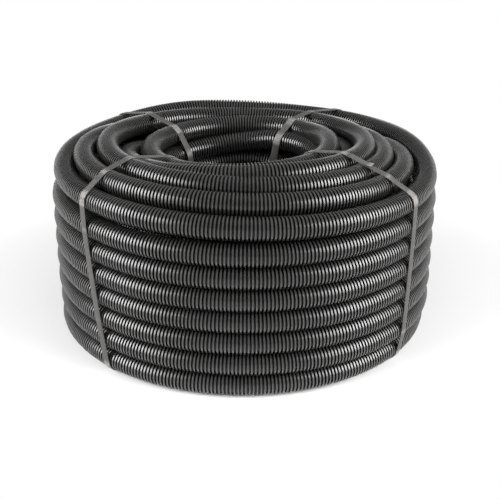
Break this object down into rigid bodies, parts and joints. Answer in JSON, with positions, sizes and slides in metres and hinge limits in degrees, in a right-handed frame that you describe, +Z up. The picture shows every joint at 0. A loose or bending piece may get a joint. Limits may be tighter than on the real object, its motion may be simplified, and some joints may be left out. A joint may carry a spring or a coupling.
{
  "type": "coil of corrugated cable conduit",
  "caption": "Ring-shaped coil of ribbed flexible cable conduit, wound in level layers around an open hole and held by flat plastic bands.",
  "frame": {"origin": "on the floor, at the centre of the coil's hole, under the bands that the coil stands on", "axes": "+Z up along the hole's axis; -Y towards the camera of the picture, where the crown of the last turns is highest, +X to its right"},
  "size_m": [0.4468, 0.4468, 0.2305],
  "materials": {
    "conduit_plastic": "satin",
    "band_plastic": "satin"
  },
  "bodies": {
    "root": {"conduit_coil": "conduit_plastic", "band_back_right": "band_plastic", "band_back_left": "band_plastic", "band_front_left": "band_plastic", "band_front_right": "band_plastic"}
  },
  "joints": []
}
